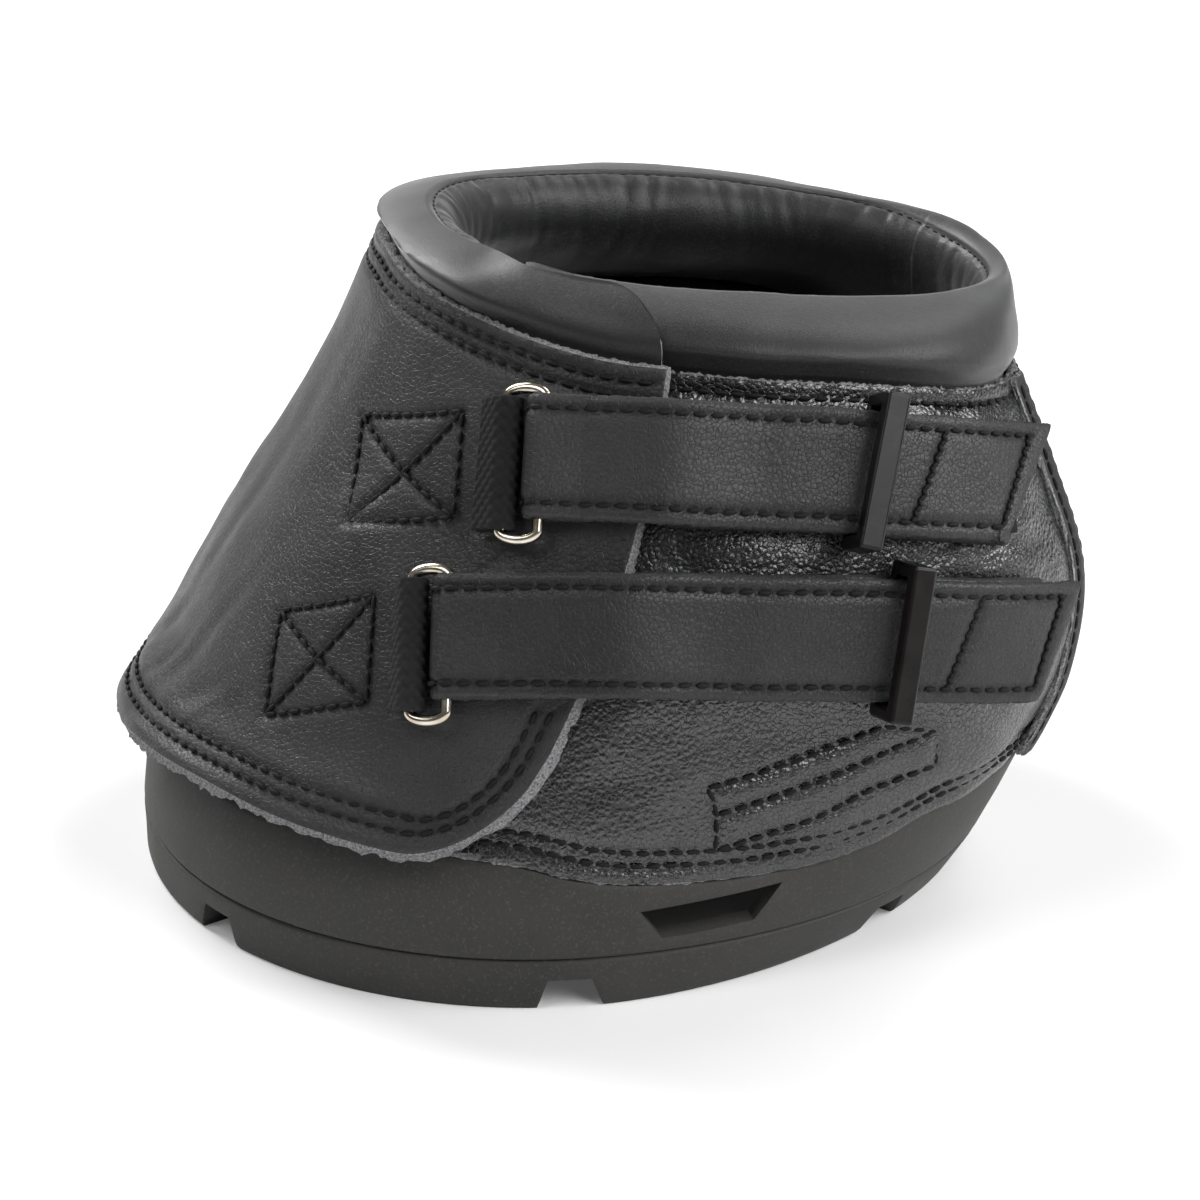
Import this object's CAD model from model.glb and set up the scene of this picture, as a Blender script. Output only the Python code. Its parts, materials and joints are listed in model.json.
import json
import math

import bpy
import numpy as np
from mathutils import Matrix, Vector
from mathutils.kdtree import KDTree


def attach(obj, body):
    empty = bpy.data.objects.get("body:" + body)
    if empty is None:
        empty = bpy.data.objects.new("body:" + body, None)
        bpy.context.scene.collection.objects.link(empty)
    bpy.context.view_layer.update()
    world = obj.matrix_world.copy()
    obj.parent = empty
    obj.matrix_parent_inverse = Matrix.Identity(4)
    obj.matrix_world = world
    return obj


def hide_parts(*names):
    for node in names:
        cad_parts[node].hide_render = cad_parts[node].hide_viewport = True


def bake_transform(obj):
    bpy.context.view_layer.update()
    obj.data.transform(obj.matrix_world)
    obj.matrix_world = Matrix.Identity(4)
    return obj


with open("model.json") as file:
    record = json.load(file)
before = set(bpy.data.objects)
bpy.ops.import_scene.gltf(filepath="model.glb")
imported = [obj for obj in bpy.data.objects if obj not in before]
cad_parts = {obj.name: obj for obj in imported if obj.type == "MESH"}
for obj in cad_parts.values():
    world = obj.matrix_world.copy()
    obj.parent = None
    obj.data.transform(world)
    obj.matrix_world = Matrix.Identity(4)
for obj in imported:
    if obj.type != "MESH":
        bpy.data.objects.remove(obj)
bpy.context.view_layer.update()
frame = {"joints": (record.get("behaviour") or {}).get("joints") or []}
print("frame loaded")

# The boot's own shape, on the frame's joints: the toe faces -Y, the straps are on +X.
# Angles go round from the toe (0) over the strap side (90) to the heel (180).
boot = {
    "soleLength": 0.158, "soleWidth": 0.157, "height": 0.125,
    "toe": ((0, -0.524), (0.168, -0.507), (0.288, -0.461), (0.512, -0.357), (0.640, -0.293),
            (0.768, -0.240), (0.944, -0.181), (1.04, -0.151)),
    "heel": ((0, 0.480), (0.168, 0.512), (0.336, 0.557), (0.480, 0.577), (0.640, 0.538),
             (0.760, 0.503), (0.864, 0.480), (1.04, 0.465)),
    "halfWidth": ((0, 0.5), (0.168, 0.494), (0.336, 0.481), (0.512, 0.458), (0.680, 0.417),
                  (0.840, 0.365), (0.944, 0.333), (1.04, 0.320)),
    "widest": ((0, -0.076), (0.168, -0.040), (0.336, 0.040), (0.512, 0.108), (0.768, 0.158),
               (0.944, 0.177), (1.04, 0.190)),
    "toeRound": ((0, 2.0), (0.168, 2.1), (1.04, 2.1)),
    "heelRound": ((0, 1.78), (0.168, 2.35), (0.336, 2.75), (0.480, 2.60), (0.680, 2.5),
                  (0.880, 2.3), (1.04, 2.3)),
    "topEdge": ((0, 0.922), (25, 0.906), (43, 0.886), (61, 0.866), (76, 0.858), (90, 0.845),
                (107, 0.826), (136, 0.783), (152, 0.766), (180, 0.758)),
    "quarterHem": ((25, 0.218), (65, 0.222), (74, 0.213), (82, 0.194), (92, 0.180), (106, 0.178),
                   (115, 0.191), (122, 0.210), (130, 0.219), (150, 0.223), (180, 0.222)),
    "flapHem": ((-26, 0.220), (0, 0.216), (14, 0.228), (27, 0.237), (43, 0.231), (56, 0.225),
                (70, 0.218)),
    "hinge": -25.0, "flapEdge": 70.2, "nearFront": 50.0, "rearSeam": 151.0,
    "standoff": 0.0060, "flare": 0.0042, "leather": 0.0022, "gap": 0.0004,
    "cornerTurn": 12.5, "cornerHeight": 0.019, "perDegree": 1.3, "cornerPerDegree": 1.28,
}


def unit(v):
    return v / np.maximum(np.linalg.norm(v, axis=-1, keepdims=True), 1e-12)


def ease(x):
    x = np.clip(x, 0.0, 1.0)
    return x * x * (3 - 2 * x)


def follow(table, x):
    table = np.array(table, float)
    xs, ys = table[:, 0], table[:, 1]
    slopes = np.gradient(ys, xs)
    x = np.clip(np.asarray(x, float), xs[0], xs[-1])
    i = np.clip(np.searchsorted(xs, x, side="right") - 1, 0, len(xs) - 2)
    h = xs[i + 1] - xs[i]
    t = (x - xs[i]) / h
    return ((2 * t**3 - 3 * t**2 + 1) * ys[i] + (t**3 - 2 * t**2 + t) * h * slopes[i]
            + (3 * t**2 - 2 * t**3) * ys[i + 1] + (t**3 - t**2) * h * slopes[i + 1])


def levelOutline(turn, toe, heel, widest, half, toePower, heelPower):
    c, s = np.cos(np.radians(turn)), np.sin(np.radians(turn))
    power = np.where(c >= 0, toePower, heelPower)
    reach = np.where(c >= 0, widest - toe, heel - widest)
    return (half * np.sign(s) * np.abs(s) ** (2 / power),
            widest - np.sign(c) * reach * np.abs(c) ** (2 / power))


def outlineAt(turn, z, inset=0.0):
    long, wide, share = boot["soleLength"], boot["soleWidth"], z / boot["height"]
    toe, heel = long * follow(boot["toe"], share) + inset, long * follow(boot["heel"], share) - inset
    widest, half = long * follow(boot["widest"], share), wide * follow(boot["halfWidth"], share) - inset
    x, y = levelOutline(turn, toe, heel, widest, half, follow(boot["toeRound"], share),
                        follow(boot["heelRound"], share))
    return np.stack([x, y, z + 0 * x], -1)


def upperNormal(turn, z):
    along = outlineAt(turn + 0.06, z) - outlineAt(turn - 0.06, z)
    up = outlineAt(turn, z + 0.00005) - outlineAt(turn, z - 0.00005)
    return unit(np.cross(along, up))


def onUpper(turn, z, off=0.0):
    turn, z, off = np.broadcast_arrays(np.asarray(turn, float), z, off)
    return outlineAt(turn, z) + off[..., None] * upperNormal(turn, z)


def folded(turn):
    return np.where(np.asarray(turn) > 180, np.asarray(turn) - 360, turn)


def topEdge(turn):
    return boot["height"] * follow(boot["topEdge"], np.abs(folded(turn)))


def quarterHem(turn):
    return boot["height"] * follow(boot["quarterHem"], np.abs(folded(turn)))


def flapHem(turn):
    past = np.clip((turn - boot["flapEdge"] + boot["cornerTurn"]) / boot["cornerTurn"], 0, 1)
    return boot["height"] * follow(boot["flapHem"], turn) + boot["cornerHeight"] * (1 - np.sqrt(1 - past**2))


def wrapHem(turn):
    return np.where(turn < boot["hinge"], quarterHem(turn), flapHem(turn))


def wrapOffset(turn, z):
    # the far quarter stands out more and more until it runs into the flap
    hinge = boot["hinge"]
    out = boot["standoff"] * ease((turn - 3 * hinge) / (-2 * hinge))
    near = ease((turn - hinge) / -hinge) * ease((boot["flapEdge"] - turn) / (boot["flapEdge"] + hinge))
    level = boot["height"] * boot["flapHem"][1][1]
    return out + boot["flare"] * near * ease((1.6 * level - z) / (0.6 * level))


def runLength(points):
    return np.concatenate([[0], np.cumsum(np.linalg.norm(np.diff(points, axis=0), axis=1))])


def readLine(wanted, length, values):
    return np.stack([np.interp(wanted, length, values[:, k]) for k in range(3)], -1)


def ripple(points, size, seed, count=20):
    # a smooth random field in space, about -1 to 1
    rng = np.random.default_rng(seed)
    ways = unit(rng.normal(size=(count, 3))) * (2 * math.pi / (size * rng.uniform(0.7, 1.5, count)))[:, None]
    phase = rng.uniform(0, 2 * math.pi, count)
    total = np.zeros(points.shape[:-1])
    for way, start in zip(ways, phase):
        total += np.sin(points @ way + start)
    return total / math.sqrt(count) / 1.2


# materials

def newMaterial(name):
    material = bpy.data.materials.new(name)
    material.use_nodes = True
    tree = material.node_tree
    place = addNode(tree, "ShaderNodeTexCoord").outputs["Object"]
    return material, tree, tree.nodes["Principled BSDF"], place


def addNode(tree, kind, inputs=None, **settings):
    node = tree.nodes.new(kind)
    for key, value in settings.items():
        setattr(node, key, value)
    for key, value in (inputs or {}).items():
        if isinstance(value, bpy.types.NodeSocket):
            tree.links.new(value, node.inputs[key])
        else:
            node.inputs[key].default_value = value
    return node


def noise(tree, place, scale, detail, roughness=0.5):
    return addNode(tree, "ShaderNodeTexNoise", {"Vector": place, "Scale": scale, "Detail": detail,
                                                "Roughness": roughness})


def shade(tree, value, stops):
    ramp = addNode(tree, "ShaderNodeValToRGB", {"Fac": value})
    elements = ramp.color_ramp.elements
    while len(elements) < len(stops):
        elements.new(0.5)
    for element, (place, colour) in zip(elements, stops):
        element.position = place
        element.color = (*colour, 1) if len(colour) == 3 else colour
    return ramp.outputs["Color"]


def bumps(tree, layers):
    normal = None
    for height, distance, strength in layers:
        inputs = {"Height": height, "Distance": distance, "Strength": strength}
        if normal is not None:
            inputs["Normal"] = normal
        normal = addNode(tree, "ShaderNodeBump", inputs).outputs["Normal"]
    return normal


def varyRoughness(tree, shader, cloud, low, high):
    rough = addNode(tree, "ShaderNodeMapRange", {"Value": cloud.outputs["Fac"], "From Min": 0.3,
                                                 "From Max": 0.7, "To Min": low, "To Max": high})
    tree.links.new(rough.outputs[0], shader.inputs["Roughness"])


leatherLooks = {
    "flapLeather": {"dark": (0.011, 0.011, 0.0115), "light": (0.033, 0.033, 0.034), "rough": 0.44,
                    "level": 0.48, "cell": 0.00095, "grainDepth": 0.00009, "crack": 0.06, "patch": 0.045,
                    "warp": 0.0004, "dome": 0.5, "sheen": 0.0},
    "pebbledLeather": {"dark": (0.006, 0.006, 0.007), "light": (0.020, 0.021, 0.022), "rough": 0.20,
                       "level": 1.0, "cell": 0.00098, "grainDepth": 0.00016, "crack": 0.05, "patch": 0.030,
                       "warp": 0.0006, "dome": 0.60, "sheen": 0.0},
    "strapLeather": {"dark": (0.011, 0.011, 0.012), "light": (0.033, 0.033, 0.034), "rough": 0.46,
                     "level": 0.45, "cell": 0.00085, "grainDepth": 0.00009, "crack": 0.06, "patch": 0.05,
                     "warp": 0.0004, "dome": 0.5, "sheen": 0.0},
    "collarLeather": {"dark": (0.008, 0.0084, 0.0092), "light": (0.014, 0.0144, 0.0155), "rough": 0.42,
                      "level": 0.42, "cell": 0.0005, "grainDepth": 0.00003, "crack": 0.05, "patch": 0.06,
                      "warp": 0.0003, "dome": 0.5, "sheen": 0.50},
}


def makeLeather(name, look):
    material, tree, shader, place = newMaterial(name)
    cell = look["cell"]
    bend = noise(tree, place, 0.6 / cell, 2.0)
    shift = addNode(tree, "ShaderNodeVectorMath", {0: bend.outputs["Color"], 1: (0.5, 0.5, 0.5)},
                    operation="SUBTRACT")
    shift = addNode(tree, "ShaderNodeVectorMath", {0: shift.outputs[0], "Scale": look["warp"] * 2},
                    operation="SCALE")
    grain = {"Vector": addNode(tree, "ShaderNodeVectorMath", {0: place, 1: shift.outputs[0]}).outputs[0],
             "Scale": 1 / cell}
    cells = addNode(tree, "ShaderNodeTexVoronoi", grain, feature="DISTANCE_TO_EDGE")
    crack = shade(tree, cells.outputs["Distance"], [(0.0, (0, 0, 0)), (look["crack"], (1, 1, 1))])
    domes = addNode(tree, "ShaderNodeTexVoronoi", grain)
    dome = addNode(tree, "ShaderNodeMapRange", {"Value": domes.outputs["Distance"], "From Min": 0.85,
                                                "From Max": 0.0}, interpolation_type="SMOOTHSTEP")
    swell = addNode(tree, "ShaderNodeMapRange", {"Value": dome.outputs[0], "To Min": 1 - look["dome"]})
    pebble = addNode(tree, "ShaderNodeMath", {0: swell.outputs[0], 1: crack}, operation="MULTIPLY").outputs[0]
    patches = noise(tree, place, 1 / look["patch"], 6.0, 0.62)
    fine = noise(tree, place, 2.4 / cell, 3.0, 0.7)
    tone = shade(tree, patches.outputs["Fac"], [(0.30, look["dark"]), (0.72, look["light"])])
    crease = tuple(0.45 * v for v in look["dark"]) + (1,)
    creased = addNode(tree, "ShaderNodeMix", {"Factor": crack, 6: crease, 7: tone}, data_type="RGBA")
    row = addNode(tree, "ShaderNodeAttribute", attribute_name="nearRow")
    sewn = addNode(tree, "ShaderNodeMix", {"Factor": row.outputs["Fac"], 6: creased.outputs[2],
                                           7: (0.003, 0.003, 0.003, 1)}, data_type="RGBA")
    tree.links.new(sewn.outputs[2], shader.inputs["Base Color"])
    spread = addNode(tree, "ShaderNodeMapRange", {"Value": patches.outputs["Fac"], "From Min": 0.3,
                                                  "From Max": 0.7, "To Min": look["rough"] - 0.06,
                                                  "To Max": look["rough"] + 0.08})
    dull = addNode(tree, "ShaderNodeMapRange", {"Value": crack, "To Min": 0.75, "To Max": 0.0})
    rough = addNode(tree, "ShaderNodeMath", {0: spread.outputs[0], 1: dull.outputs[0]}, operation="MAXIMUM")
    tree.links.new(rough.outputs[0], shader.inputs["Roughness"])
    shader.inputs["Specular IOR Level"].default_value = look["level"]
    shader.inputs["Sheen Weight"].default_value = look["sheen"]
    shader.inputs["Sheen Roughness"].default_value = 0.35
    normal = bumps(tree, [(patches.outputs["Fac"], 0.0012, 0.25), (pebble, look["grainDepth"], 1.0),
                          (fine.outputs["Fac"], look["grainDepth"] * 0.5, 0.7)])
    tree.links.new(normal, shader.inputs["Normal"])
    return material


def makeMottled(name, dark, light, scale, bump, rough, level=0.5, detail=5.0, grit=0.5, span=(0.3, 0.7)):
    # one noise gives the tone, the bumps and, where rough is a pair, the roughness
    material, tree, shader, place = newMaterial(name)
    cloud = noise(tree, place, scale, detail, grit)
    tone = shade(tree, cloud.outputs["Fac"], [(span[0], dark), (span[1], light)])
    tree.links.new(tone, shader.inputs["Base Color"])
    if isinstance(rough, tuple):
        varyRoughness(tree, shader, cloud, *rough)
    else:
        shader.inputs["Roughness"].default_value = rough
    shader.inputs["Specular IOR Level"].default_value = level
    tree.links.new(bumps(tree, [(cloud.outputs["Fac"], *bump)]), shader.inputs["Normal"])
    return material


def makeCloth(name, dark, light, thread):
    # small even cells stand for the knit
    material, tree, shader, place = newMaterial(name)
    knit = addNode(tree, "ShaderNodeTexVoronoi", {"Vector": place, "Scale": 1 / thread, "Randomness": 0.35})
    patches = noise(tree, place, 30.0, 4.0)
    tone = shade(tree, patches.outputs["Fac"], [(0.3, dark), (0.7, light)])
    tree.links.new(tone, shader.inputs["Base Color"])
    shader.inputs["Roughness"].default_value = 0.9
    shader.inputs["Specular IOR Level"].default_value = 0.25
    tree.links.new(bumps(tree, [(knit.outputs["Distance"], thread * 0.5, 0.8)]), shader.inputs["Normal"])
    return material


def makeRubber():
    material, tree, shader, place = newMaterial("soleRubber")
    speck = noise(tree, place, 1600.0, 3.0, 0.7)
    cloud = noise(tree, place, 45.0, 6.0, 0.65)
    tone = shade(tree, cloud.outputs["Fac"], [(0.3, (0.022, 0.0215, 0.0205)), (0.7, (0.038, 0.0365, 0.0345))])
    dust = shade(tree, speck.outputs["Fac"], [(0.55, (0, 0, 0)), (0.75, (1, 1, 1))])
    mixed = addNode(tree, "ShaderNodeMix", {"Factor": dust, 6: tone, 7: (0.070, 0.066, 0.061, 1)},
                    data_type="RGBA")
    tree.links.new(mixed.outputs[2], shader.inputs["Base Color"])
    varyRoughness(tree, shader, cloud, 0.52, 0.68)
    shader.inputs["Specular IOR Level"].default_value = 0.4
    normal = bumps(tree, [(cloud.outputs["Fac"], 0.0006, 0.3), (speck.outputs["Fac"], 0.00006, 0.6)])
    tree.links.new(normal, shader.inputs["Normal"])
    return material


looks = {name: makeLeather(name, look) for name, look in leatherLooks.items()}
for name, dark, light, size in (("suedeEdge", (0.020, 0.020, 0.021), (0.40, 0.40, 0.41), 0.00042),
                                ("cutEdge", (0.012, 0.012, 0.013), (0.085, 0.085, 0.088), 0.00030),
                                ("suedeBack", (0.012, 0.012, 0.013), (0.035, 0.035, 0.037), 0.0006)):
    looks[name] = makeMottled(name, dark, light, 1 / size, (size * 0.9, 0.9), 0.95, 0.2, grit=0.75,
                              span=(0.34, 0.66))
looks["lining"] = makeCloth("liningCloth", (0.006, 0.006, 0.007), (0.014, 0.014, 0.015), 0.0007)
looks["webbing"] = makeCloth("webbingYarn", (0.008, 0.008, 0.009), (0.026, 0.026, 0.027), 0.00022)
looks["tape"] = makeCloth("tapeNylon", (0.006, 0.006, 0.007), (0.016, 0.016, 0.017), 0.0004)
looks["thread"] = makeMottled("sewingThread", (0.0015, 0.0015, 0.0015), (0.007, 0.007, 0.007), 4200.0,
                              (0.0001, 0.8), 0.7, 0.25, detail=2.0, span=(0.35, 0.7))
looks["rubber"] = makeRubber()
looks["nickel"] = makeMottled("nickelWire", (0.50, 0.44, 0.34), (0.74, 0.69, 0.60), 260.0, (0.00004, 0.5),
                              (0.14, 0.27), detail=4.0)
looks["nickel"].node_tree.nodes["Principled BSDF"].inputs["Metallic"].default_value = 1.0
looks["plastic"] = makeMottled("keeperPlastic", (0.004, 0.0033, 0.003), (0.009, 0.0075, 0.007), 130.0,
                               (0.00015, 0.4), (0.24, 0.36), 0.28)
print("materials made")


# mesh helpers

def hide(*names):
    # the looks of a sheet's outer face, cut edge and inner face
    return [looks[name] for name in names]


def newObject(name, mesh, materials):
    item = bpy.data.objects.new(name, mesh)
    bpy.context.scene.collection.objects.link(item)
    for material in materials:
        mesh.materials.append(material)
    return item


def meshObject(name, points, faces, materials, faceMaterials=None, sharp=45, attributes=None):
    mesh = bpy.data.meshes.new(name)
    mesh.from_pydata(np.asarray(points).tolist(), [], faces)
    mesh.shade_smooth()
    if faceMaterials is not None:
        mesh.polygons.foreach_set("material_index", np.asarray(faceMaterials, np.int32))
    for key, values in (attributes or {}).items():
        layer = mesh.attributes.new(key, "FLOAT", "POINT")
        layer.data.foreach_set("value", np.asarray(values, np.float32))
    mesh.set_sharp_from_angle(angle=math.radians(sharp))
    mesh.update()
    return newObject(name, mesh, materials)


def gridNormals(grid):
    return unit(np.cross(np.gradient(grid, axis=0), np.gradient(grid, axis=1)))


def pointObject(name, places, vectors):
    # loose points that carry vectors for a node tree
    mesh = bpy.data.meshes.new(name)
    mesh.from_pydata(places.tolist(), [], [])
    for key, values in vectors.items():
        layer = mesh.attributes.new(key, "FLOAT_VECTOR", "POINT")
        layer.data.foreach_set("vector", values.astype(np.float32).reshape(-1))
    return newObject(name, mesh, [])


def quadsBetween(a, b):
    # faces between two lines of vertex numbers
    return [(a[i], a[i + 1], b[i + 1], b[i]) for i in range(len(a) - 1)]


def rowTree(rows):
    points = np.concatenate([row["points"] for row in rows])
    tree = KDTree(len(points))
    for i, p in enumerate(points):
        tree.insert(p, i)
    tree.balance()
    return tree


def sinkAlong(points, rows, width):
    # how deep each point lies in the groove of the nearest stitch row, 0 to 1
    flat = points.reshape(-1, 3)
    if not rows:
        return np.zeros(points.shape[:-1])
    tree = rowTree(rows)
    far = np.array([tree.find(p)[2] for p in flat])
    return np.exp(-(far / width) ** 2).reshape(points.shape[:-1])


def besideLine(turns, heights, start, end):
    # against a line on the upper from (turn, mm) to (turn, mm): the share along it, how far past it each
    # point lies in x and y, and the line's own run, all in mm
    (ax, ay), (bx, by), wide = start, end, boot["perDegree"]
    dx, dy = bx * wide - ax * wide, by - ay
    x, y = turns * wide, heights * 1000
    t = np.clip(((x - ax * wide) * dx + (y - ay) * dy) / (dx * dx + dy * dy), 0, 1)
    return t, x - ax * wide - t * dx, y - ay - t * dy, dx, dy


def foldField(turns, heights, folds):
    # soft creases between two places on the upper: (turn, mm) to (turn, mm), half width mm, depth mm
    total = np.zeros(turns.shape)
    for start, end, width, depth in folds:
        t, x, y, _, _ = besideLine(turns, heights, start, end)
        away = np.hypot(x, y)
        taper = 0.35 + 0.65 * np.sin(math.pi * np.clip(t, 0.02, 0.98))
        total += depth * taper * (np.exp(-(away / width) ** 2) - 0.45 * np.exp(-(away / (2.2 * width)) ** 2))
    return -total / 1000


def leatherSheet(name, outer, thickness, materials, rows=(), push=None, groove=0.00055, grooveWidth=0.0010,
                 fray=0.00022, seed=1, edgeBulge=0.00028, skive=0.0):
    # an outer face, an inner face and a raw cut edge between them; skive lets the flesh side reach further
    m, n = outer.shape[:2]
    normals = gridNormals(outer)
    moved = outer.copy()
    if push is not None:
        moved = moved + normals * push[..., None]
    inner = moved - normals * thickness
    near = sinkAlong(outer, rows, grooveWidth)
    moved = moved - normals * (near * groove)[..., None]
    loop = ([(i, 0) for i in range(m - 1)] + [(m - 1, j) for j in range(n - 1)]
            + [(i, n - 1) for i in range(m - 1, 0, -1)] + [(0, j) for j in range(n - 1, 0, -1)])
    loop = np.array(loop)
    a, b = moved[loop[:, 0], loop[:, 1]], inner[loop[:, 0], loop[:, 1]]
    along = unit(np.roll(a, -1, 0) - np.roll(a, 1, 0))
    away = unit(np.cross(along, normals[loop[:, 0], loop[:, 1]]))
    rng = np.random.default_rng(seed)
    uneven = 1 + 0.22 * ripple(a, 0.006, seed + 70)[:, None]
    # full along the hem and the free end, a third along the top, none at the far end
    share = np.concatenate([np.full(m - 1, 1.0), np.linspace(1.0, 0.35, n - 1), np.full(m - 1, 0.3),
                            np.zeros(n - 1)])
    reach = skive * share[:, None]
    rings = []
    for t, swell in ((0.14, 0.75), (0.38, 1.0), (0.62, 1.0), (0.86, 0.75)):
        rough = rng.normal(size=(len(loop), 1)) * fray
        beyond = edgeBulge * swell + reach * uneven * min(1.0, t * 1.15) + rough
        rings.append(a + (b - a) * t + away * beyond + along * rng.normal(size=(len(loop), 1)) * fray * 0.3)
    points = np.concatenate([moved.reshape(-1, 3), inner.reshape(-1, 3)] + rings)
    half = m * n
    ids = np.arange(half).reshape(m, n)
    faces, kinds = [], []
    for i in range(m - 1):
        for j in range(n - 1):
            faces.append((ids[i, j], ids[i + 1, j], ids[i + 1, j + 1], ids[i, j + 1]))
    kinds += [0] * len(faces)
    back = [tuple(half + k for k in face[::-1]) for face in faces]
    faces += back
    kinds += [2] * len(back)
    lines = [ids[loop[:, 0], loop[:, 1]]]
    for k in range(len(rings)):
        lines.append(2 * half + k * len(loop) + np.arange(len(loop)))
    lines.append(half + ids[loop[:, 0], loop[:, 1]])
    for one, two in zip(lines[:-1], lines[1:]):
        some = quadsBetween(list(one) + [one[0]], list(two) + [two[0]])
        faces += [face[::-1] for face in some]
        kinds += [1] * len(some)
    faces = [tuple(int(k) for k in face) for face in faces]
    marks = np.zeros(len(points))
    marks[:half] = near.reshape(-1)
    return meshObject(name, points, faces, materials, kinds, 55, {"nearRow": marks})


# stitches

def newTree(name, sockets, output):
    # a Geometry Nodes tree with the named inputs, each with its kind and its value
    tree = bpy.data.node_groups.new(name, "GeometryNodeTree")
    for label, kind, value in sockets:
        socket = tree.interface.new_socket(label, in_out="INPUT", socket_type="NodeSocket" + kind)
        if value is not None:
            socket.default_value = value
    tree.interface.new_socket(output, in_out="OUTPUT", socket_type="NodeSocketGeometry")
    return tree, tree.nodes.new("NodeGroupInput").outputs


def endTree(tree, shape, material):
    coloured = addNode(tree, "GeometryNodeSetMaterial", {"Geometry": shape.outputs[0], "Material": material})
    tree.links.new(coloured.outputs[0], tree.nodes.new("NodeGroupOutput").inputs[0])
    return tree


def makeStitchTree():
    sockets = (("Points", "Geometry", None), ("Stitch Length", "Float", 0.0024),
               ("Thread Width", "Float", 0.0008), ("Thread Height", "Float", 0.0006),
               ("Turn Scatter", "Float", 0.08), ("Seed", "Int", 7), ("Thread", "Material", None))
    tree, given = newTree("stitchRows", sockets, "Stitches")
    ball = addNode(tree, "GeometryNodeMeshUVSphere", {"Segments": 8, "Rings": 6, "Radius": 0.5})
    size = addNode(tree, "ShaderNodeCombineXYZ", {"X": given["Stitch Length"], "Y": given["Thread Width"],
                                                 "Z": given["Thread Height"]})
    stitch = addNode(tree, "GeometryNodeTransform", {"Geometry": ball.outputs["Mesh"],
                                                     "Scale": size.outputs[0]})
    run = addNode(tree, "GeometryNodeInputNamedAttribute", {"Name": "run"}, data_type="FLOAT_VECTOR")
    out = addNode(tree, "GeometryNodeInputNamedAttribute", {"Name": "out"}, data_type="FLOAT_VECTOR")
    first = addNode(tree, "FunctionNodeAlignRotationToVector", {"Vector": run.outputs[0]}, axis="X")
    second = addNode(tree, "FunctionNodeAlignRotationToVector",
                     {"Rotation": first.outputs[0], "Vector": out.outputs[0]}, axis="Z", pivot_axis="X")
    low = addNode(tree, "ShaderNodeMath", {0: given["Turn Scatter"], 1: -1.0}, operation="MULTIPLY")
    turn = addNode(tree, "FunctionNodeRandomValue", {2: low.outputs[0], 3: given["Turn Scatter"],
                                                    "Seed": given["Seed"]}, data_type="FLOAT")
    euler = addNode(tree, "ShaderNodeCombineXYZ", {"Z": turn.outputs[1]})
    spin = addNode(tree, "FunctionNodeEulerToRotation", {0: euler.outputs[0]})
    turned = addNode(tree, "FunctionNodeRotateRotation", {0: second.outputs[0], 1: spin.outputs[0]},
                     rotation_space="LOCAL")
    placed = addNode(tree, "GeometryNodeInstanceOnPoints", {"Points": given["Points"],
                                                           "Instance": stitch.outputs["Geometry"],
                                                           "Rotation": turned.outputs[0]})
    real = addNode(tree, "GeometryNodeRealizeInstances", {"Geometry": placed.outputs[0]})
    smooth = addNode(tree, "GeometryNodeSetShadeSmooth", {0: real.outputs[0]})
    return endTree(tree, smooth, given["Thread"])


stitchTree = makeStitchTree()


def bakeTree(name, source, tree, values):
    # runs a node tree on an object and keeps its result as a plain mesh
    modifier = source.modifiers.new("tree", "NODES")
    modifier.node_group = tree
    for item in tree.interface.items_tree:
        if item.item_type == "SOCKET" and item.in_out == "INPUT" and item.name in values:
            modifier[item.identifier] = values[item.name]
    bpy.context.view_layer.update()
    graph = bpy.context.evaluated_depsgraph_get()
    mesh = bpy.data.meshes.new_from_object(source.evaluated_get(graph))
    bpy.data.objects.remove(source)
    mesh.name = name
    return newObject(name, mesh, [])


def rowAlong(points, normals, pitch=0.0031):
    # a stitch row through surface points: dense samples for the groove, and one place per stitch
    length = runLength(points)
    dense = np.arange(0, length[-1], 0.0003)
    count = max(2, int(round(length[-1] / pitch)))
    middles = (np.arange(count) + 0.5) * length[-1] / count
    run = unit(readLine(middles + 0.0004, length, points) - readLine(middles - 0.0004, length, points))
    return {"points": readLine(dense, length, points), "places": readLine(middles, length, points),
            "run": run, "out": unit(readLine(middles, length, normals))}


def rowOnUpper(line, offset, pitch=0.0031, count=160):
    # line holds (turn, height in mm) corners on the upper, joined smoothly
    line = np.array(line, float)
    t = np.linspace(0, len(line) - 1, count)
    turn = np.interp(t, np.arange(len(line)), line[:, 0])
    high = np.interp(t, np.arange(len(line)), line[:, 1]) / 1000
    if len(line) > 3:
        kernel = np.hanning(9) / np.hanning(9).sum()
        turn = np.concatenate([turn[:4], np.convolve(turn, kernel, "valid"), turn[-4:]])
        high = np.concatenate([high[:4], np.convolve(high, kernel, "valid"), high[-4:]])
    off = offset(turn, high)
    return rowAlong(onUpper(turn, high, off), upperNormal(turn, high), pitch)


def sewRows(name, rows, sink=0.00022, length=0.0026, width=0.00092, height=0.00080, seed=7):
    places = np.concatenate([row["places"] - row["out"] * sink for row in rows])
    run = np.concatenate([row["run"] for row in rows])
    out = np.concatenate([row["out"] for row in rows])
    source = pointObject(name + "Points", places, {"run": run, "out": out})
    item = bakeTree(name, source, stitchTree, {"Stitch Length": length, "Thread Width": width, "Seed": seed,
                                               "Thread Height": height, "Thread": looks["thread"]})
    return item


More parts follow.
